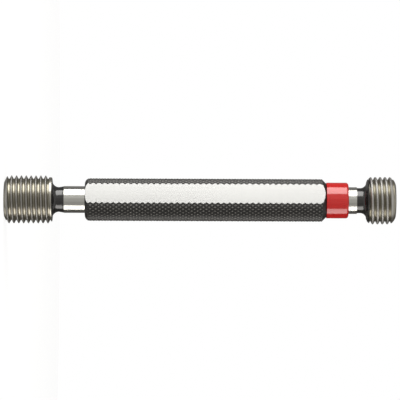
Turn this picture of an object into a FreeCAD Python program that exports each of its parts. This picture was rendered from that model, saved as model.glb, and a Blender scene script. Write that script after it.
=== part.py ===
import FreeCAD, Part
import math
import os
import re
import Sketcher
from FreeCAD import Placement, Rotation, Vector

# A double-ended thread plug gauge for the 1/4 inch pipe thread.  It stands on its GO face:
# +Z runs along the gauge from the GO end to the NO-GO end, and the origin is the centre of
# the GO face.  Lengths are in millimetres.
#
#   go_member     long screw with its neck, ground shank and the spigot that holds it
#   handle        round bar with two ground flats and a flat-bottomed bore in each end
#   nogo_ring     red ring that marks the NO-GO end, pushed over the shank
#   nogo_member   short screw, otherwise made as the GO member is
#
# The screws are the ground blanks at their full diameter: their 1.337 mm pitch V grooves
# and the handle's diamond knurl are fine detail that the blanks leave room for.

# ------------------------------------------------------------------ driving dimensions

SIZES = {
    # GO screw and its neck
    "go_major_diameter": 13.157,
    "go_thread_length": 13.1,
    "go_lead_depth": 1.65,
    "go_lead_length": 1.0,
    "go_land_depth": 0.5,
    "go_land_length": 0.85,
    "go_neck_diameter": 6.76,
    "go_neck_length": 3.3,
    "go_neck_fillet": 1.9,
    "go_shank_length": 5.7,
    # NO-GO screw and its neck
    "nogo_major_diameter": 12.99,
    "nogo_thread_length": 8.0,
    "nogo_lead_depth": 1.6,
    "nogo_lead_length": 1.2,
    "nogo_land_depth": 0.65,
    "nogo_land_length": 0.75,
    "nogo_neck_diameter": 6.86,
    "nogo_neck_length": 2.65,
    "nogo_neck_fillet": 1.7,
    "nogo_shank_show": 2.3,
    # shank and spigot, the same on both members
    "shank_diameter": 7.33,
    "spigot_diameter": 6.4,
    "spigot_length": 16.0,
    "spigot_end_break": 0.4,
    # handle
    "handle_diameter": 11.7,
    "handle_length": 66.2,
    "across_flats": 9.96,
    "go_end_round": 1.45,
    "nogo_end_chamfer": 1.2,
    "spigot_clearance": 0.005,
    "bore_spare_depth": 3.0,
    # red ring
    "ring_diameter": 9.79,
    "ring_length": 6.05,
    "ring_end_bevel": 0.6,
    "ring_clearance": 0.02,
}

document = FreeCAD.newDocument("thread_plug_gauge")
sheet = document.addObject("Spreadsheet::Sheet", "Sizes")
for row, (word, value) in enumerate(SIZES.items(), start=1):
    sheet.set("A%d" % row, word)
    sheet.set("B%d" % row, str(value))
    sheet.setAlias("B%d" % row, word)
document.recompute()


def cells(words):
    """The expression with the name of every size written as its cell in the sheet."""
    return re.sub(r"\w+", lambda word: "Sizes." * (word[0] in SIZES) + word[0], words)


# ------------------------------------------------------------------ sketches and features

def origin_part(body, role):
    return next(part for part in body.Origin.OriginFeatures if part.Role == role)


def outline(body, name, role, steps):
    """A closed, fully dimensioned sketch on one of the body's own planes.

    A step (across, along) is a corner that a straight line ends at.  A third value makes
    the line an arc, and says how far across the arc's centre lies.
    """
    sketch = body.newObject("Sketcher::SketchObject", name)
    sketch.AttachmentSupport = [(origin_part(body, role), "")]
    sketch.MapMode = "FlatFace"
    steps = [tuple(cells(words) for words in step) for step in steps]
    places = [[float(sketch.evalExpression(words)) for words in step] for step in steps]
    ends = []
    for index, place in enumerate(places):
        start, end = Vector(*places[index - 1][:2]), Vector(*place[:2])
        if len(place) == 2:
            sketch.addGeometry(Part.LineSegment(start, end), False)
            ends.append((1, 2))
            continue
        middle, chord = (start + end) / 2, end - start
        centre = Vector(place[2], middle.y - (place[2] - middle.x) * chord.x / chord.y)
        turn = (start - centre).cross(end - centre).z
        angles = [math.atan2(spot.y - centre.y, spot.x - centre.x) for spot in (start, end)]
        first, last = angles if turn > 0 else reversed(angles)
        circle = Part.Circle(centre, Vector(0, 0, 1), (start - centre).Length)
        sketch.addGeometry(Part.ArcOfCircle(circle, first, last), False)
        ends.append((1, 2) if turn > 0 else (2, 1))

    def bind(kind, geometry, point, words):
        value = float(sketch.evalExpression(words))
        number = sketch.addConstraint(Sketcher.Constraint(kind, -1, 1, geometry, point, value))
        sketch.setExpression("Constraints[%d]" % number, words)

    for index, step in enumerate(steps):
        point = ends[index][1]
        after = (index + 1) % len(steps)
        sketch.addConstraint(Sketcher.Constraint("Coincident", index, point, after, ends[after][0]))
        for kind, axis, words in (("DistanceX", -2, step[0]), ("DistanceY", -1, step[1])):
            if words == "0":
                sketch.addConstraint(Sketcher.Constraint("PointOnObject", index, point, axis))
            else:
                bind(kind, index, point, words)
        if len(step) == 3:
            bind("DistanceX", index, 3, step[2])
    document.recompute()
    return sketch


def turned(body, name, kind, sketch):
    """A full turn of the sketch about the body's own Z, as a Revolution or a Groove."""
    feature = body.newObject("PartDesign::" + kind, name)
    feature.Profile = sketch
    feature.ReferenceAxis = (sketch, ["V_Axis"])
    feature.Angle = 360
    document.recompute()
    return feature


# ------------------------------------------------------------------ gauging members

def gauging_member(end, shank_length):
    """One screwed member, face down: screw, neck, shank and spigot, turned as one piece."""
    body = document.addObject("PartDesign::Body", end + "_member")
    crest, neck = end + "_major_diameter / 2", end + "_neck_diameter / 2"
    fillet = end + "_neck_fillet"
    land_from = "%s_thread_length - %s_land_length" % (end, end)
    land = crest + " - %s_land_depth" % end
    back = end + "_thread_length"
    shank, spigot = "shank_diameter / 2", "spigot_diameter / 2"
    shank_from = back + " + %s_neck_length" % end
    seat = shank_from + " + " + shank_length
    spigot_to = seat + " + spigot_length"
    blank = outline(body, end + "_profile", "XZ_Plane", [
        ("0", "0"),
        (crest + " - %s_lead_depth" % end, "0"),
        (crest, end + "_lead_length"),
        (crest, land_from),
        (land, land_from),
        (land, back),
        (neck + " + " + fillet, back),
        (neck, back + " + " + fillet, neck + " + " + fillet),
        (shank, shank_from),
        (shank, seat),
        (spigot, seat),
        (spigot, spigot_to + " - spigot_end_break"),
        (spigot + " - spigot_end_break", spigot_to),
        ("0", spigot_to),
    ])
    body.Tip = turned(body, end + "_turned", "Revolution", blank)
    return body


# ------------------------------------------------------------------ handle

def handle():
    """A turned bar, rounded at the GO end and chamfered at the other, bored at both."""
    body = document.addObject("PartDesign::Body", "handle")
    side, far_end = "handle_diameter / 2", "handle_length"
    bar = outline(body, "bar_profile", "XZ_Plane", [
        ("0", "0"),
        (side + " - go_end_round", "0"),
        (side, "go_end_round", side + " - go_end_round"),
        (side, far_end + " - nogo_end_chamfer"),
        (side + " - nogo_end_chamfer", far_end),
        ("0", far_end),
    ])
    turned(body, "bar_turned", "Revolution", bar)

    wall = "spigot_diameter / 2 + spigot_clearance"
    floor = "(spigot_length + bore_spare_depth)"
    for name, mouth, inward in (("go_bore", "0", " + "), ("nogo_bore", far_end, " - ")):
        drilled = outline(body, name + "_profile", "XZ_Plane", [
            ("0", mouth),
            (wall, mouth),
            (wall, mouth + inward + floor),
            ("0", mouth + inward + floor),
        ])
        turned(body, name, "Groove", drilled)

    # two opposite flats, ground along the whole bar and square to Y
    for name, side_of in (("front_flat", "-"), ("back_flat", "")):
        waste = outline(body, name + "_profile", "XY_Plane", [
            ("-handle_diameter", side_of + "across_flats / 2"),
            ("handle_diameter", side_of + "across_flats / 2"),
            ("handle_diameter", side_of + "handle_diameter"),
            ("-handle_diameter", side_of + "handle_diameter"),
        ])
        body.Tip = flat = body.newObject("PartDesign::Pocket", name)
        flat.Profile = waste
        flat.Type = "ThroughAll"
        flat.Reversed = True
        document.recompute()
    return body


# ------------------------------------------------------------------ ring

def ring():
    """A plain ring that stands square on the handle's end and is bevelled at its far edge."""
    body = document.addObject("PartDesign::Body", "nogo_ring")
    bore, side = "shank_diameter / 2 + ring_clearance", "ring_diameter / 2"
    section = outline(body, "ring_profile", "XZ_Plane", [
        (bore, "0"),
        (side, "0"),
        (side, "ring_length - ring_end_bevel"),
        (side + " - ring_end_bevel", "ring_length"),
        (bore, "ring_length"),
    ])
    body.Tip = turned(body, "ring_turned", "Revolution", section)
    return body


# ------------------------------------------------------------------ assembly

go_member = gauging_member("go", "go_shank_length")
bar = handle()
marking_ring = ring()
nogo_member = gauging_member("nogo", "ring_length + nogo_shank_show")
BODIES = (go_member, bar, marking_ring, nogo_member)

HANDLE_FROM = "go_thread_length + go_neck_length + go_shank_length"
HANDLE_TO = HANDLE_FROM + " + handle_length"
GAUGE_TO = HANDLE_TO + " + ring_length + nogo_shank_show + nogo_neck_length + nogo_thread_length"
# the NO-GO member is turned over, so that its face looks up
nogo_member.Placement = Placement(Vector(0, 0, 0), Rotation(Vector(1, 0, 0), 180))
for body, height in ((bar, HANDLE_FROM), (marking_ring, HANDLE_TO), (nogo_member, GAUGE_TO)):
    body.setExpression("Placement.Base.z", cells(height))
document.recompute()

os.makedirs("parts", exist_ok=True)
for item in document.Objects:
    if "Invalid" in item.State or "Error" in item.State:
        raise RuntimeError("%s did not build: %s" % (item.Label, item.State))
for body in BODIES:
    shape = body.Shape
    if shape.isNull() or not shape.isValid() or len(shape.Solids) != 1:
        raise RuntimeError("%s is not one sound solid" % body.Label)
    box = shape.BoundBox
    print("%-12s %8.2f mm3, z %6.2f to %6.2f" % (body.Label, shape.Volume, box.ZMin, box.ZMax))
for body in BODIES:
    body.Shape.exportStep("parts/%s.step" % body.Label)
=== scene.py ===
# %% [markdown]
# # A thread plug gauge
#
# The gauge checks a tapped hole. The long screwed plug at one end must go in;
# the short one at the other end, marked by a red ring, must not. Between them
# is a knurled steel bar with two flats. The gauge stands on its GO face, so
# its axis is Z, and every piece is turned or milled about that axis.

# %% Load the frame
import math

import bpy
from mathutils import Matrix, Vector


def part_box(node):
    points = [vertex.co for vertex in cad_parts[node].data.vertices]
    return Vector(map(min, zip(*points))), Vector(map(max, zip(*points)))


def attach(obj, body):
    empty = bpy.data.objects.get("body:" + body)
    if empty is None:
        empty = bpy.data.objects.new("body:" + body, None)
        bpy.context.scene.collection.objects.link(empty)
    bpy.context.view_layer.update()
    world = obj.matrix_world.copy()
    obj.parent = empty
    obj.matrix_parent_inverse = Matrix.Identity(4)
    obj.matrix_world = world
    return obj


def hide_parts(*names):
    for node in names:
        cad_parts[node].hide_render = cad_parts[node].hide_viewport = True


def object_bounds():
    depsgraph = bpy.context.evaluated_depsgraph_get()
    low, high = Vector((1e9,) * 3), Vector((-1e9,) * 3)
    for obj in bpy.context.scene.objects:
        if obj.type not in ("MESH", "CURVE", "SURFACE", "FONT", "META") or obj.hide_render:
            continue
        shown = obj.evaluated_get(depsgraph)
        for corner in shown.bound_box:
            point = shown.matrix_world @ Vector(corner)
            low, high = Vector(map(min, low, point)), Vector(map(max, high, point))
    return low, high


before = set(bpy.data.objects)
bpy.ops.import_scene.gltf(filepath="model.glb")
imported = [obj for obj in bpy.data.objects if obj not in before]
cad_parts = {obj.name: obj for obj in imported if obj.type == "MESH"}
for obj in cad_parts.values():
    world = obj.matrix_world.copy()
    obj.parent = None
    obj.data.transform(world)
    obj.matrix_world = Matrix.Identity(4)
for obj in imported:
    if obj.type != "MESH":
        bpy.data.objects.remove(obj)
cad_low, cad_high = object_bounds()

# %% [markdown]
# ## Sizes
#
# Blender works in metres, a toolmaker in millimetres, so every size below is
# in millimetres and MM turns it into metres. The places along the axis come
# from the boxes of the CAD nodes, so the pieces fit the frame by themselves.

# %% Places along the axis
MM = 0.001
TURN = 2 * math.pi


def along(node):
    """Lowest and highest point of a CAD node on the axis, in mm."""
    low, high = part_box(node)
    return low[2] / MM, high[2] / MM


def across(node):
    """Largest radius of a CAD node, in mm."""
    low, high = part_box(node)
    return (high[0] - low[0]) / 2 / MM


handle_from, handle_to = along("handle")
ring_from, ring_to = along("nogo_ring")
go_to = along("go_member")[1]
nogo_from, top = along("nogo_member")
go_radius, nogo_radius = across("go_member"), across("nogo_member")
handle_radius, ring_radius = across("handle"), across("nogo_ring")
print("handle", round(handle_from, 2), round(handle_to, 2), "top", round(top, 2))

# %% [markdown]
# ## Drawing and turning
#
# A lathe makes a round piece from one outline. Here the outline starts as a
# plane that is merged to a single point, which is extruded from corner to
# corner, and spun about a centre where the outline is round. The finished
# outline is then spun once about Z. Drawing by extrusion keeps every corner
# at its exact size, which scaling rings by eye would not.

# %% Selecting
def pick(piece=None):
    """Object mode with one piece, or nothing, selected."""
    if bpy.context.mode != "OBJECT":
        bpy.ops.object.mode_set(mode="OBJECT")
    bpy.ops.object.select_all(action="DESELECT")
    if piece:
        piece.select_set(True)
        bpy.context.view_layer.objects.active = piece
    return piece


def pick_faces(piece, wanted):
    """Edit mode with the faces selected for which wanted(centre in mm, normal) holds."""
    pick(piece)
    for part in (piece.data.vertices, piece.data.edges):
        part.foreach_set("select", [False] * len(part))
    for face in piece.data.polygons:
        face.select = bool(wanted(face.center / MM, face.normal))
    bpy.ops.object.mode_set(mode="EDIT")
    bpy.ops.mesh.select_mode(type="FACE")


def tidy(piece):
    """Merged doubles and normals that point outwards."""
    pick(piece)
    bpy.ops.object.mode_set(mode="EDIT")
    bpy.ops.mesh.select_all(action="SELECT")
    bpy.ops.mesh.remove_doubles(threshold=0.0002 * MM)
    bpy.ops.mesh.normals_make_consistent(inside=False)
    return pick(piece)


# %% Drawing an outline
def outline(name, corners):
    """An open outline in the XZ plane. A corner is (radius, height), and
    (radius, height, centre radius, centre height, degrees) comes to it on an arc."""
    pick()
    bpy.ops.mesh.primitive_plane_add(size=MM, location=(0, 0, 0))
    piece = bpy.context.object
    piece.name = piece.data.name = name
    bpy.ops.object.mode_set(mode="EDIT")
    bpy.ops.mesh.select_mode(type="VERT")
    bpy.ops.mesh.merge(type="CENTER")
    r, z = corners[0]
    bpy.ops.transform.translate(value=(r * MM, 0, z * MM))
    for corner in corners[1:]:
        if len(corner) == 2:
            step = ((corner[0] - r) * MM, 0, (corner[1] - z) * MM)
            bpy.ops.mesh.extrude_region_move(TRANSFORM_OT_translate={"value": step})
        else:
            middle = (corner[2] * MM, 0, corner[3] * MM)
            bpy.ops.mesh.spin(
                steps=max(2, round(abs(corner[4]) / 11)), angle=math.radians(corner[4]),
                center=middle, axis=(0, 1, 0), use_auto_merge=False,
            )
        r, z = corner[0], corner[1]
    return pick(piece)


def turned(name, corners, steps=96):
    """A closed round piece from an outline that starts and ends on the axis."""
    piece = outline(name, corners)
    bpy.ops.object.mode_set(mode="EDIT")
    bpy.ops.mesh.select_all(action="SELECT")
    bpy.ops.mesh.spin(
        steps=steps, angle=TURN, center=(0, 0, 0), axis=(0, 0, 1), use_auto_merge=True
    )
    tidy(piece)
    print(name, len(piece.data.polygons), "faces after turning")
    return piece


def cut(piece, tool, kind="DIFFERENCE"):
    """Applies a Boolean of the piece with the tool, and clears the tool away."""
    pick(piece)
    boolean = piece.modifiers.new("cut", "BOOLEAN")
    boolean.solver, boolean.operation, boolean.object = "EXACT", kind, tool
    bpy.ops.object.modifier_apply(modifier=boolean.name)
    pick(tool)
    bpy.ops.object.delete()
    return tidy(piece)


# %% [markdown]
# ## The screw threads
#
# A thread is one groove wound round the bar. The cutter is the shape of the
# groove, wound by the Screw modifier and closed at both ends, so a Boolean
# cuts it as a threading tool does. Modelling the groove and not the tooth
# leaves the crests on the turned blank, and lets the groove run out through
# the chamfer at the face and through the land at the back.

# %% The groove cutter
PITCH = 1.337
FLANK = math.radians(27.5)


def groove_cutter(name, radius, crest, root, softness, first, turns):
    """A right-hand groove between crests and roots of these widths. softness
    rounds both corners, and first is the height of the groove at angle 0."""
    slope = math.tan(FLANK)
    depth = (PITCH - crest - root) / 2 / slope
    floor, lip, outer = root / 2, (PITCH - crest) / 2, radius + 0.5
    near, far = softness * slope, softness * 0.9
    side = [
        (radius - depth, max(floor - far, 0.01)),
        (radius - depth + softness * 0.4, floor + near * 0.4 - softness * 0.05),
        (radius - depth + softness * 1.3, floor + near * 1.3),
        (radius - softness * 1.3, lip - near * 1.3),
        (radius - softness * 0.42, lip - near * 0.42 + softness * 0.12),
        (radius, lip + far * 0.8),
        (outer, lip + far * 0.8),
    ]
    ring = [(r, first - s) for r, s in reversed(side)] + [(r, first + s) for r, s in side]
    cutter = outline(name, ring)
    bpy.ops.object.mode_set(mode="EDIT")
    bpy.ops.mesh.select_all(action="SELECT")
    bpy.ops.mesh.edge_face_add()
    bpy.ops.mesh.delete(type="ONLY_FACE")
    pick(cutter)
    screw = cutter.modifiers.new("wind", "SCREW")
    screw.axis, screw.angle, screw.screw_offset = "Z", TURN, PITCH * MM
    screw.iterations, screw.steps, screw.render_steps = turns, 96, 96
    bpy.ops.object.modifier_apply(modifier=screw.name)
    bpy.ops.object.mode_set(mode="EDIT")
    bpy.ops.mesh.select_mode(type="EDGE")
    bpy.ops.mesh.select_all(action="DESELECT")
    bpy.ops.mesh.select_non_manifold()
    bpy.ops.mesh.fill_holes(sides=0)
    print(name, "depth", round(depth, 3), "mm")
    return tidy(cutter)


# %% [markdown]
# ## The GO plug
#
# The long plug, its blackened neck, the ground shank and the hidden spigot
# are one turned piece of hard steel. The outline follows the axis from the
# GO face up into the handle. Small chamfers where two ground surfaces meet
# catch the light as the broken edges of a real gauge do.

# %% Turning and threading the GO plug
SHANK, SPIGOT, BREAK = 3.665, 3.2, 0.08
go_back = 13.1

go_plug = turned("go_thread_plug", [
    (0, 0),
    (go_radius - 1.65 - BREAK, 0),
    (go_radius - 1.65, BREAK / 2),
    (go_radius - 0.25, 0.72),
    (go_radius, 1.1),
    (go_radius, go_back - 0.85),
    (go_radius - 0.5, go_back - 0.8),
    (go_radius - 0.5, go_back - 0.06),
    (go_radius - 0.56, go_back),
    (5.28, go_back),
    (3.38, go_back + 1.9, 5.28, go_back + 1.9, -90),
    (SHANK - 0.04, go_back + 3.27),
    (SHANK, go_back + 3.33),
    (SHANK, handle_from),
    (SPIGOT, handle_from + 0.001),
    (SPIGOT, go_to - 0.4),
    (SPIGOT - 0.4, go_to),
    (0, go_to),
])
go_groove = groove_cutter(
    "go_groove", go_radius, crest=0.16, root=0.22, softness=0.07,
    first=0.54 - 2 * PITCH, turns=13,
)
cut(go_plug, go_groove)
print("GO plug", len(go_plug.data.polygons), "faces")

# %% [markdown]
# ## The NO-GO plug
#
# The NO-GO plug is shorter, and its crests are wide and round, because it
# only has to touch the flanks of the hole's thread. It points the other way,
# so its outline is drawn from its face at the top down into the handle.

# %% Turning and threading the NO-GO plug
nogo_back = top - 8.0

nogo_plug = turned("nogo_thread_plug", [
    (0, top),
    (nogo_radius - 1.95, top),
    (nogo_radius - 1.55, top - 0.12),
    (nogo_radius - 0.95, top - 0.45),
    (nogo_radius - 0.4, top - 0.95),
    (nogo_radius, top - 1.6),
    (nogo_radius, nogo_back + 1.1),
    (nogo_radius - 0.3, nogo_back + 0.75),
    (nogo_radius - 0.65, nogo_back + 0.3),
    (nogo_radius - 1.35, nogo_back),
    (5.13, nogo_back),
    (3.43, nogo_back - 1.7, 5.13, nogo_back - 1.7, 90),
    (3.45, nogo_back - 2.6),
    (SHANK - 0.04, nogo_back - 2.63),
    (SHANK, nogo_back - 2.7),
    (SHANK, handle_to),
    (SPIGOT, handle_to - 0.001),
    (SPIGOT, nogo_from + 0.4),
    (SPIGOT - 0.4, nogo_from),
    (0, nogo_from),
])
nogo_groove = groove_cutter(
    "nogo_groove", nogo_radius, crest=0.36, root=0.10, softness=0.16,
    first=top - 0.30 - 8 * PITCH, turns=11,
)
cut(nogo_plug, nogo_groove)
print("NO-GO plug", len(nogo_plug.data.polygons), "faces")

# %% [markdown]
# ## The knurl
#
# Knurling rolls two sets of slanting grooves into the bar, and leaves rows of
# small raised diamonds. One diamond is a four-sided cone with a flat top. It
# is repeated into a sheet, a second sheet is set half a diamond over, and the
# whole is bent once round, so that the last diamonds close on the first. A
# bump in the material would look flat at the edge of the bar.

# %% One diamond, rows of diamonds, and the bar
AROUND, DIAMOND_LENGTH, KNURL_DEPTH, TIP = 31, 1.586, 0.24, 0.16
knurl_root = handle_radius - KNURL_DEPTH
diamond_width = TURN * knurl_root / AROUND
rows = math.ceil((handle_to - handle_from) / DIAMOND_LENGTH) + 3

pick()
bpy.ops.mesh.primitive_cone_add(
    vertices=4, radius1=0.5 * MM, radius2=0.5 * TIP * MM, depth=KNURL_DEPTH * MM,
    location=(0, 0, 0),
)
bar = bpy.context.object
bar.name = bar.data.name = "knurled_handle"
bpy.ops.object.mode_set(mode="EDIT")
bpy.ops.transform.translate(value=(0, 0, KNURL_DEPTH / 2 * MM))
bpy.ops.transform.resize(value=(diamond_width, DIAMOND_LENGTH, 1), center_override=(0, 0, 0))
pick_faces(bar, lambda centre, normal: normal.z < -0.9)
bpy.ops.mesh.delete(type="FACE")
pick_faces(bar, lambda centre, normal: normal.z > 0.99)
bpy.ops.mesh.bevel(offset=0.05 * MM, segments=1, affect="EDGES")
pick(bar)
print("one diamond", len(bar.data.polygons), "faces")


def repeat(piece, count, step):
    """Applies an Array with a constant step in mm."""
    pick(piece)
    array = piece.modifiers.new("repeat", "ARRAY")
    array.use_relative_offset, array.use_constant_offset = False, True
    array.constant_offset_displace = Vector(step) * MM
    array.count = count
    bpy.ops.object.modifier_apply(modifier=array.name)


repeat(bar, 2, (diamond_width / 2, DIAMOND_LENGTH / 2, 0))
repeat(bar, AROUND, (diamond_width, 0, 0))
repeat(bar, rows, (0, DIAMOND_LENGTH, 0))
tidy(bar)
print("sheet", len(bar.data.polygons), "faces")

# %% [markdown]
# ## Wrapping the sheet and milling the flats
#
# Simple Deform bends the sheet about Z. Its open ends are pulled level and
# filled, which makes a closed knurled bar, longer than the handle. The bar
# is then trimmed by the handle's own outline: turned with a rounded GO end,
# a chamfered NO-GO end and two blind bores, and cut flat on two sides. So
# the flats break through the diamonds and get the scalloped edges that a
# ground flat has on a knurled bar.

# %% Wrapping
pick(bar)
bpy.ops.object.mode_set(mode="EDIT")
bpy.ops.mesh.select_all(action="SELECT")
bpy.ops.transform.rotate(value=math.radians(-90), orient_axis="X", center_override=(0, 0, 0))
pick(bar)
widths = [point.co.x for point in bar.data.vertices]
bend = bar.modifiers.new("wrap", "SIMPLE_DEFORM")
bend.deform_method, bend.deform_axis = "BEND", "Z"
bend.angle = TURN * (max(widths) - min(widths)) / (AROUND * diamond_width * MM)
bpy.ops.object.modifier_apply(modifier=bend.name)
bpy.ops.object.mode_set(mode="EDIT")
bpy.ops.mesh.select_all(action="SELECT")
bpy.ops.transform.translate(value=(0, -knurl_root * MM, (handle_from - DIAMOND_LENGTH) * MM))
tidy(bar)

# %% Closing the ends of the bar
for end, reach in ((handle_from, -3.5), (handle_to, 3.5)):
    pick(bar)
    bpy.ops.object.mode_set(mode="EDIT")
    bpy.ops.mesh.select_mode(type="EDGE")
    bpy.ops.mesh.select_all(action="DESELECT")
    bpy.ops.mesh.select_non_manifold()
    pick(bar)
    for edge in bar.data.edges:
        height = bar.data.vertices[edge.vertices[0]].co.z / MM
        edge.select = edge.select and abs(height - end) < 8
    for point in bar.data.vertices:
        point.select = False
    bpy.ops.object.mode_set(mode="EDIT")
    bpy.ops.mesh.select_mode(type="EDGE")
    bpy.ops.mesh.extrude_edges_move(TRANSFORM_OT_translate={"value": (0, 0, 0)})
    level = (0, 0, (end + reach) * MM)
    bpy.ops.transform.resize(value=(1, 1, 0), center_override=level)
    bpy.ops.mesh.edge_face_add()
tidy(bar)
print("closed bar", len(bar.data.polygons), "faces")

# %% Trimming the bar to the handle
FLATS, END_ROUND, END_CHAMFER, BORE, BORE_DEPTH = 9.96, 1.45, 1.2, 3.205, 19.0
bound = handle_radius + 0.004

trim = turned("trim", [
    (0, handle_from + BORE_DEPTH),
    (BORE, handle_from + BORE_DEPTH),
    (BORE, handle_from),
    (bound - END_ROUND, handle_from),
    (bound, handle_from + END_ROUND, bound - END_ROUND, handle_from + END_ROUND, 90),
    (bound, handle_to - END_CHAMFER - 0.15),
    (bound - 0.06, handle_to - END_CHAMFER),
    (bound - END_CHAMFER, handle_to - 0.06),
    (bound - END_CHAMFER - 0.06, handle_to),
    (BORE, handle_to),
    (BORE, handle_to - BORE_DEPTH),
    (0, handle_to - BORE_DEPTH),
])
for side in (-1, 1):
    pick(trim)
    bpy.ops.object.mode_set(mode="EDIT")
    bpy.ops.mesh.select_all(action="SELECT")
    bpy.ops.mesh.bisect(
        plane_co=(0, side * FLATS / 2 * MM, 0), plane_no=(0, side, 0),
        use_fill=True, clear_outer=True, threshold=0.0001 * MM,
    )
tidy(trim)
cut(bar, trim, "INTERSECT")
print("handle", len(bar.data.polygons), "faces")

# %% [markdown]
# ## The red ring
#
# The ring is a short sleeve on the shank, with a large round at its outer
# end and only a broken edge where it meets the handle. The chamfer of the
# handle and the edge of the ring leave a small dark groove between them.

# %% Turning the ring
RING_BORE = SHANK + 0.02
ring = outline("nogo_red_ring", [
    (RING_BORE + 0.1, ring_from),
    (ring_radius - 0.16, ring_from),
    (ring_radius, ring_from + 0.16, ring_radius - 0.16, ring_from + 0.16, 90),
    (ring_radius, ring_to - 0.72),
    (ring_radius - 0.72, ring_to, ring_radius - 0.72, ring_to - 0.72, 90),
    (RING_BORE + 0.1, ring_to),
    (RING_BORE, ring_to - 0.1),
    (RING_BORE, ring_from + 0.1),
    (RING_BORE + 0.1, ring_from),
])
bpy.ops.object.mode_set(mode="EDIT")
bpy.ops.mesh.select_all(action="SELECT")
bpy.ops.mesh.spin(steps=96, angle=TURN, center=(0, 0, 0), axis=(0, 0, 1), use_auto_merge=True)
tidy(ring)
print("ring", len(ring.data.polygons), "faces")

# %% [markdown]
# ## Finishes
#
# A finish is a procedural material. Its sums are written as plain Python: a
# Value holds a socket, and adding or comparing values adds Math nodes. Each
# finish measures its own place on the piece from Object coordinates, such as
# the distance from the axis, so the dull crests, the lighter knurl tips (partly
# wear, partly painted highlight) and the darker roots (partly oil, partly
# painted shade) sit in place from every side.

# %% Values and nodes
class Value:
    """A socket that can be used in sums."""

    def __init__(self, finish, socket):
        self.finish, self.socket = finish, socket

    def _sum(self, operation, *terms):
        settings = {"operation": operation}
        return self.finish.node("ShaderNodeMath", settings, dict(enumerate(terms)))

    def __add__(self, other):
        return self._sum("ADD", self, other)

    def __sub__(self, other):
        return self._sum("SUBTRACT", self, other)

    def __mul__(self, other):
        return self._sum("MULTIPLY", self, other)

    def __truediv__(self, other):
        return self._sum("DIVIDE", self, other)

    def __radd__(self, other):
        return self._sum("ADD", other, self)

    def __rsub__(self, other):
        return self._sum("SUBTRACT", other, self)

    def __rmul__(self, other):
        return self._sum("MULTIPLY", other, self)

    def __rtruediv__(self, other):
        return self._sum("DIVIDE", other, self)

    def __pow__(self, other):
        return self._sum("POWER", self, other)

    def __neg__(self):
        return self._sum("MULTIPLY", self, -1.0)

    def between(self, low, high):
        """0 below low, 1 above high, and smooth in between."""
        sockets = {0: self, 1: low, 2: high, 3: 0.0, 4: 1.0}
        return self.finish.node("ShaderNodeMapRange", {"interpolation_type": "SMOOTHSTEP"}, sockets)


class Finish:
    """A material on the Principled shader. The constants go on its own sockets."""

    def __init__(self, name, **constants):
        self.material = bpy.data.materials.new(name)
        self.material.use_nodes = True
        self.tree = self.material.node_tree
        self.shader = self.tree.nodes["Principled BSDF"]
        for socket, value in constants.items():
            self.shader.inputs[socket.replace("_", " ")].default_value = value
        self.place = self.node("ShaderNodeTexCoord", {}, {}, "Object")
        parts = self.node("ShaderNodeSeparateXYZ", {}, {"Vector": self.place}, None)
        self.x, self.y, self.z = (Value(self, out) for out in parts.outputs)
        self.radius = (self.x * self.x + self.y * self.y) ** 0.5

    def node(self, kind, settings, sockets, output=0):
        """Adds a node, sets it up, then sets or links its sockets."""
        node = self.tree.nodes.new(kind)
        for name, value in settings.items():
            setattr(node, name, value)
        for name, value in sockets.items():
            if isinstance(value, Value):
                self.tree.links.new(value.socket, node.inputs[name])
            else:
                node.inputs[name].default_value = value
        return node if output is None else Value(self, node.outputs[output])

    def noise(self, scale, stretch=(1, 1, 1), detail=3.0, rough=0.5):
        """Noise from 0 to 1 on Object coordinates, with features per metre."""
        place = self.node("ShaderNodeMapping", {}, {"Vector": self.place, "Scale": stretch})
        sockets = {"Vector": place, "Scale": scale, "Detail": detail, "Roughness": rough}
        return self.node("ShaderNodeTexNoise", {"noise_dimensions": "3D"}, sockets)

    def mix(self, share, first, second):
        """From the first colour to the second by a share."""
        first, second = (c if isinstance(c, Value) else (*c, 1) for c in (first, second))
        sockets = {0: share, 6: first, 7: second}
        return self.node("ShaderNodeMix", {"data_type": "RGBA"}, sockets, 2)

    def feed(self, **values):
        """Links values to the shader, and a height in mm through a Bump node."""
        for name, value in values.items():
            if name == "height":
                sockets = {"Height": value, "Distance": MM, "Strength": 1.0}
                name, value = "Normal", self.node("ShaderNodeBump", {}, sockets)
            self.tree.links.new(value.socket, self.shader.inputs[name.replace("_", " ")])
        return self.material


# %% [markdown]
# ### Ground steel
#
# The shanks are ground between centres, which leaves very fine rings round
# the axis. The noise is stretched round the piece by giving it a high scale
# along Z only. The wheel leaves the surface bright, a little warm, and no
# two rings are equally smooth.

# %% Ground shank steel
finish = Finish("ground_steel", Metallic=1.0)
rings = finish.noise(60, (1, 1, 60), 4.0, 0.6)
clouds = finish.noise(180, (1, 1, 1), 3.0)
ground_steel = finish.feed(
    Base_Color=finish.mix(rings * 0.6 + clouds * 0.4, (0.70, 0.695, 0.66), (0.60, 0.595, 0.56)),
    Roughness=0.12 + rings * 0.10 + clouds * 0.05,
    height=rings * 0.0012,
)
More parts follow.
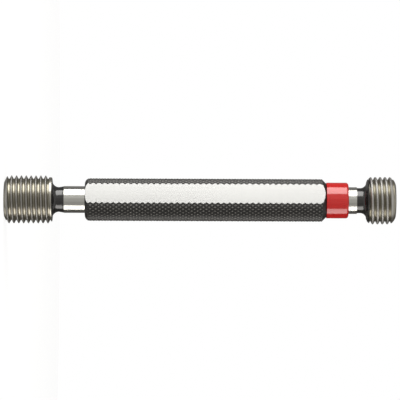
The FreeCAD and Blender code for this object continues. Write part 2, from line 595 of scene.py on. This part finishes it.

# %% [markdown]
# ### Screw steel
#
# The thread is ground too. Its roots are darker and browner, partly from a
# film of oil and partly as painted shade in the grooves, and its crests are
# duller than the flanks, because they were finished separately. The distance
# from the axis tells a crest from a root.

# %% Screw steel
def screw_steel(name, crest_radius, depth):
    finish = Finish(name, Metallic=1.0)
    deep = (crest_radius * MM - finish.radius) / (depth * MM)
    rings = finish.noise(70, (1, 1, 50), 4.0, 0.6)
    stain = finish.noise(420, (1, 1, 0.6), 4.0, 0.6)
    # roots darker and browner: partly oil, partly painted shade in the grooves
    oil_and_painted_shade = deep.between(0.12, 0.85)
    dull = 1 - deep.between(0.10, 0.22)
    steel = finish.mix(stain, (0.60, 0.59, 0.57), (0.52, 0.51, 0.49))
    root = finish.mix(stain, (0.42, 0.40, 0.34), (0.34, 0.32, 0.26))
    colour = finish.mix(oil_and_painted_shade, steel, root)
    return finish.feed(
        Base_Color=finish.mix(dull, colour, (0.42, 0.41, 0.395)),
        Roughness=0.25 + rings * 0.05 + stain * 0.04 + dull * 0.25,
        height=rings * 0.0008,
    )


go_screw_steel = screw_steel("go_screw_steel", go_radius, 0.9)
nogo_screw_steel = screw_steel("nogo_screw_steel", nogo_radius, 0.85)

# %% [markdown]
# ### Black oxide
#
# The necks keep the black skin of heat treatment, and the knurled bar is
# chemically blackened. Both are drawn as dark surfaces with a clear gloss.
# On the knurl the tips of the diamonds are drawn in lighter steel, partly
# wear from the hand and partly a painted highlight.

# %% Black neck
finish = Finish("black_neck", IOR=1.75)
rings = finish.noise(50, (1, 1, 40), 4.0, 0.6)
skin = finish.noise(300, (1, 1, 1), 4.0, 0.6)
black_neck = finish.feed(
    Base_Color=finish.mix(skin, (0.004, 0.0035, 0.003), (0.010, 0.009, 0.009)),
    Roughness=0.12 + rings * 0.08 + skin * 0.05,
    height=rings * 0.0012 + skin * 0.0010,
)

# %% Black knurl
finish = Finish("black_knurl", IOR=1.5)
raised = (finish.radius - knurl_root * MM) / (KNURL_DEPTH * MM)
grain = finish.noise(1500, (1, 1, 1), 3.0, 0.6)
patches = finish.noise(160, (1, 1, 1), 3.0)
# lighter steel on the diamond tips: partly wear, partly a painted highlight
tip = raised.between(0.52, 0.95) * (0.55 + patches * 0.45)
dust = (1 - raised.between(0.0, 0.35)) * grain
skin = finish.mix(patches, (0.006, 0.0055, 0.005), (0.012, 0.011, 0.010))
skin = finish.mix(dust * 0.4, skin, (0.022, 0.020, 0.018))
black_knurl = finish.feed(
    Base_Color=finish.mix(tip, skin, (0.19, 0.185, 0.172)),
    Metallic=tip * 0.6,
    Roughness=0.36 - tip * 0.06 + grain * 0.08,
    height=grain * 0.006,
)

# %% [markdown]
# ### The milled flats
#
# The flats are ground bright along the bar. Their grain runs the long way,
# with a few long scratches and a faint haze.

# %% Flat steel
finish = Finish("flat_steel", Metallic=1.0)
grain = finish.noise(900, (1, 1, 0.03), 4.0, 0.7)
lines = finish.noise(2600, (1, 1, 0.012), 2.0, 0.5)
haze = finish.noise(70, (1, 1, 0.5), 2.0)
flat_steel = finish.feed(
    Base_Color=finish.mix(grain * 0.5 + haze * 0.5, (0.50, 0.50, 0.495), (0.47, 0.47, 0.463)),
    Roughness=0.16 + grain * 0.05 + haze * 0.03,
    height=grain * 0.0012 + lines * 0.0010,
)

# %% [markdown]
# ### Red plastic
#
# The ring is glossy plastic, mottled very slightly in depth of colour, with
# faint handling marks in the gloss.

# %% Red plastic
finish = Finish("red_plastic", IOR=1.75)
marks = finish.noise(500, (1, 1, 0.4), 4.0, 0.65)
depth_of_colour = finish.noise(90, (1, 1, 1), 2.0)
red_plastic = finish.feed(
    Base_Color=finish.mix(depth_of_colour, (0.45, 0.004, 0.003), (0.51, 0.006, 0.005)),
    Roughness=0.12 + marks * 0.05,
    height=marks * 0.0001,
)

# %% [markdown]
# ## Putting the finishes on
#
# Each piece gets one slot per finish, and faces go to a slot by where they
# are, so that the edge between black and bright is as sharp as the grinding
# wheel left it.

# %% Finishes by place
def dress(piece, *finishes):
    """The first finish everywhere, then each (finish, test of centre in mm and normal)."""
    piece.data.materials.clear()
    piece.data.materials.append(finishes[0])
    for face in piece.data.polygons:
        face.material_index = 0
    for slot, (finish, wanted) in enumerate(finishes[1:], 1):
        piece.data.materials.append(finish)
        pick_faces(piece, wanted)
        piece.active_material_index = slot
        bpy.ops.object.material_slot_assign()
        pick(piece)


def from_axis(centre):
    return math.hypot(centre.x, centre.y)


# The black ends where the neck meets the ground shank, in mm from the back of
# the thread. On the NO-GO plug it also covers the faces of the ground chamfer
# at the back that look toward the handle, as a painted dark reflection.
GO_NECK, NOGO_NECK, BACK_CHAMFER = 3.25, 2.61, 0.9


def is_nogo_neck_or_painted_chamfer(centre, normal):
    # back chamfer faces that look toward the handle: painted dark reflection on ground steel
    reach = BACK_CHAMFER if normal.z < -0.3 else 0.01
    return nogo_back - NOGO_NECK < centre.z < nogo_back + reach


dress(
    go_plug, go_screw_steel,
    (ground_steel, lambda c, n: c.z > go_back + GO_NECK),
    (black_neck, lambda c, n: go_back - 0.03 < c.z < go_back + GO_NECK and from_axis(c) < 6.06),
)
dress(
    nogo_plug, nogo_screw_steel,
    (ground_steel, lambda c, n: c.z < nogo_back - NOGO_NECK),
    (black_neck, is_nogo_neck_or_painted_chamfer),
)
dress(
    bar, black_knurl,
    (flat_steel, lambda c, n: abs(n.y) > 0.999 and abs(abs(c.y) - FLATS / 2) < 0.01),
)
dress(ring, red_plastic)

# %% Smooth shading and bodies
KNURL_SMOOTH, SMOOTH = math.radians(14), math.radians(24)

for piece, node, slot in (
    (go_plug, "go_member", "gauge_steel"),
    (nogo_plug, "nogo_member", "gauge_steel"),
    (bar, "handle", "handle_steel"),
    (ring, "nogo_ring", "red_ring"),
):
    pick(piece)
    bpy.ops.object.shade_smooth_by_angle(angle=KNURL_SMOOTH if piece is bar else SMOOTH)
    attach(piece, "root")
    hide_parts(node)
    print(piece.name, sum(len(face.vertices) - 2 for face in piece.data.polygons), "triangles")

# %% [markdown]
# ## The studio
#
# Round steel shows nothing but what stands around it. So two soft lamps
# stand beside the gauge, and bent cards close the rest of the circle: grey
# ones toward the camera, paler upwards, and dark ones behind. Each lamp draws
# one bright band along the shank, and the cards draw the grey and the dark
# between. Two flat cards close the circle at both ends. The camera doesn't
# see the cards, only the white behind them.

# %% Directions round the gauge
FACING = math.radians(-69)
LAMP_AWAY, LAMP_TALL = 0.5, 0.7
CARD_AWAY, CARD_TALL = 0.6, 1.3
middle = (cad_low.z + cad_high.z) / 2


def toward(degrees, distance):
    """A point on a circle round the gauge, in degrees from the camera's side."""
    angle = FACING - math.radians(degrees)
    return Vector((math.cos(angle) * distance, math.sin(angle) * distance, middle))


def plain_light(name, colour, strength):
    material = bpy.data.materials.new(name)
    material.use_nodes = True
    nodes, links = material.node_tree.nodes, material.node_tree.links
    nodes.clear()
    light, output = nodes.new("ShaderNodeEmission"), nodes.new("ShaderNodeOutputMaterial")
    light.inputs["Color"].default_value = (*colour, 1)
    light.inputs["Strength"].default_value = strength
    links.new(light.outputs[0], output.inputs["Surface"])
    return material


# %% Soft lamps
def soft_lamp(name, start, end, radiance, colour):
    """A lamp that fills the directions from start to end degrees."""
    lamp = bpy.data.lights.new(name, "AREA")
    holder = bpy.data.objects.new(name, lamp)
    bpy.context.collection.objects.link(holder)
    width = 2 * LAMP_AWAY * math.tan(math.radians(end - start) / 2)
    lamp.shape, lamp.size, lamp.size_y = "RECTANGLE", width, LAMP_TALL
    lamp.color, lamp.energy = colour, radiance * math.pi * width * LAMP_TALL
    holder.location = toward((start + end) / 2, LAMP_AWAY)
    aim = Vector((0, 0, middle)) - holder.location
    holder.rotation_euler = aim.to_track_quat("-Z", "Y").to_euler()
    holder.visible_camera = False
    return holder


soft_lamp("upper_lamp", 44, 94, 4.2, (1.0, 0.99, 0.97))
soft_lamp("lower_lamp", -94, -56, 3.0, (1.0, 0.97, 0.94))

# %% Cards round the gauge
def card(name, start, end, colour, strength):
    """A bent card from start to end degrees."""
    pick()
    bpy.ops.mesh.primitive_circle_add(
        vertices=72, radius=CARD_AWAY, location=(0, 0, middle - CARD_TALL / 2)
    )
    piece = bpy.context.object
    piece.name = name
    bpy.ops.object.mode_set(mode="EDIT")
    bpy.ops.mesh.select_all(action="SELECT")
    bpy.ops.mesh.extrude_edges_move(TRANSFORM_OT_translate={"value": (0, 0, CARD_TALL)})
    pick(piece)

    def outside(centre, normal):
        turn = math.degrees(FACING - math.atan2(centre.y, centre.x))
        turn = (turn + 180) % 360 - 180
        return not (start <= turn <= end or start <= turn + 360 <= end)

    pick_faces(piece, outside)
    bpy.ops.mesh.delete(type="FACE")
    pick(piece)
    piece.data.materials.append(plain_light(name, colour, strength))
    piece.visible_camera = False


card("low_grey_card", -58, -20, (1.0, 0.98, 0.93), 0.36)
card("grey_card", -20, 10, (1.0, 0.985, 0.94), 0.46)
card("pale_card", 10, 44, (1.0, 0.99, 0.95), 0.62)
card("upper_side_card", 44, 92, (1.0, 0.99, 0.95), 0.60)
card("upper_dark_card", 92, 180, (1.0, 0.98, 0.95), 0.22)
card("lower_dark_card", 180, 266, (1.0, 0.97, 0.90), 0.10)
card("lower_side_card", 266, 302, (1.0, 0.98, 0.93), 0.40)

for name, side in (("top_card", 1), ("low_card", -1)):
    pick()
    bpy.ops.mesh.primitive_circle_add(
        vertices=72, radius=CARD_AWAY + 0.01, fill_type="NGON",
        location=(0, 0, middle + side * (CARD_TALL / 2 + 0.001)),
    )
    piece = bpy.context.object
    piece.name = name
    piece.data.materials.append(plain_light(name, (1.0, 0.99, 0.96), 0.6))
    piece.visible_camera = False

# %% [markdown]
# ## Floor and world
#
# The floor is pale and mostly shows white to the camera, and keeps a share of
# its own shading, so the shadow of the gauge stays on it. The world is white
# to the camera and in reflections, and weaker as a light.

# %% Floor
pick()
bpy.ops.mesh.primitive_circle_add(vertices=96, radius=0.3, fill_type="NGON", location=(0, 0, 0))
floor = bpy.context.object
floor.name = "floor"
finish = Finish("pale_floor", Roughness=0.9)
speckle = finish.noise(40, (1, 1, 1), 3.0)
finish.feed(Base_Color=finish.mix(speckle, (0.86, 0.86, 0.86), (0.82, 0.82, 0.82)))
rays = finish.node("ShaderNodeLightPath", {}, {}, None)
camera_ray, through_ray = (
    Value(finish, rays.outputs[name]) for name in ("Is Camera Ray", "Is Transmission Ray")
)
seen = camera_ray + through_ray
glow = finish.node("ShaderNodeEmission", {}, {"Strength": 1.2})
lit = Value(finish, finish.shader.outputs[0])
shown = finish.node("ShaderNodeMixShader", {}, {0: seen * 0.7, 1: lit, 2: glow})
finish.tree.links.new(shown.socket, finish.tree.nodes["Material Output"].inputs["Surface"])
floor.data.materials.append(finish.material)
floor.visible_glossy = False

# %% World
world = bpy.data.worlds.new("studio")
bpy.context.scene.world = world
world.use_nodes = True
nodes, links = world.node_tree.nodes, world.node_tree.links
background = nodes["Background"]
rays, seen, either, strength = (
    nodes.new(kind) for kind in
    ("ShaderNodeLightPath", "ShaderNodeMath", "ShaderNodeMath", "ShaderNodeMapRange")
)
seen.operation = either.operation = "MAXIMUM"
links.new(rays.outputs["Is Camera Ray"], seen.inputs[0])
links.new(rays.outputs["Is Glossy Ray"], seen.inputs[1])
links.new(seen.outputs[0], either.inputs[0])
links.new(rays.outputs["Is Transmission Ray"], either.inputs[1])
links.new(either.outputs[0], strength.inputs["Value"])
strength.inputs["To Min"].default_value = 0.5
strength.inputs["To Max"].default_value = 1.0
links.new(strength.outputs[0], background.inputs["Strength"])
background.inputs["Color"].default_value = (1, 1, 1, 1)
bpy.context.scene.view_settings.view_transform = "Standard"

# %% [markdown]
# ## The camera
#
# The gauge lies level across the picture with its GO end on the left, so the
# camera is rolled on its side: right in the picture is up the axis. A long
# lens far away keeps the ends nearly free of perspective.

# %% Camera
camera = bpy.data.objects.new("camera", bpy.data.cameras.new("camera"))
bpy.context.collection.objects.link(camera)
DISTANCE, VIEW_ACROSS = 0.76, 0.1098
camera.data.sensor_width = 36
camera.data.lens = 36 * DISTANCE / VIEW_ACROSS
camera.data.clip_start, camera.data.clip_end = 0.05, 20
target = Vector((0, 0, 53.67 * MM))
back = Vector((math.cos(FACING), math.sin(FACING), 0))
camera.location = target + back * DISTANCE
right = Vector((0, 0, 1))
up = back.cross(right)
camera.matrix_world = Matrix((
    (right.x, up.x, back.x, camera.location.x),
    (right.y, up.y, back.y, camera.location.y),
    (right.z, up.z, back.z, camera.location.z),
    (0, 0, 0, 1),
))
camera.rotation_euler.rotate_axis("Z", math.radians(0.227))
bpy.context.scene.camera = camera
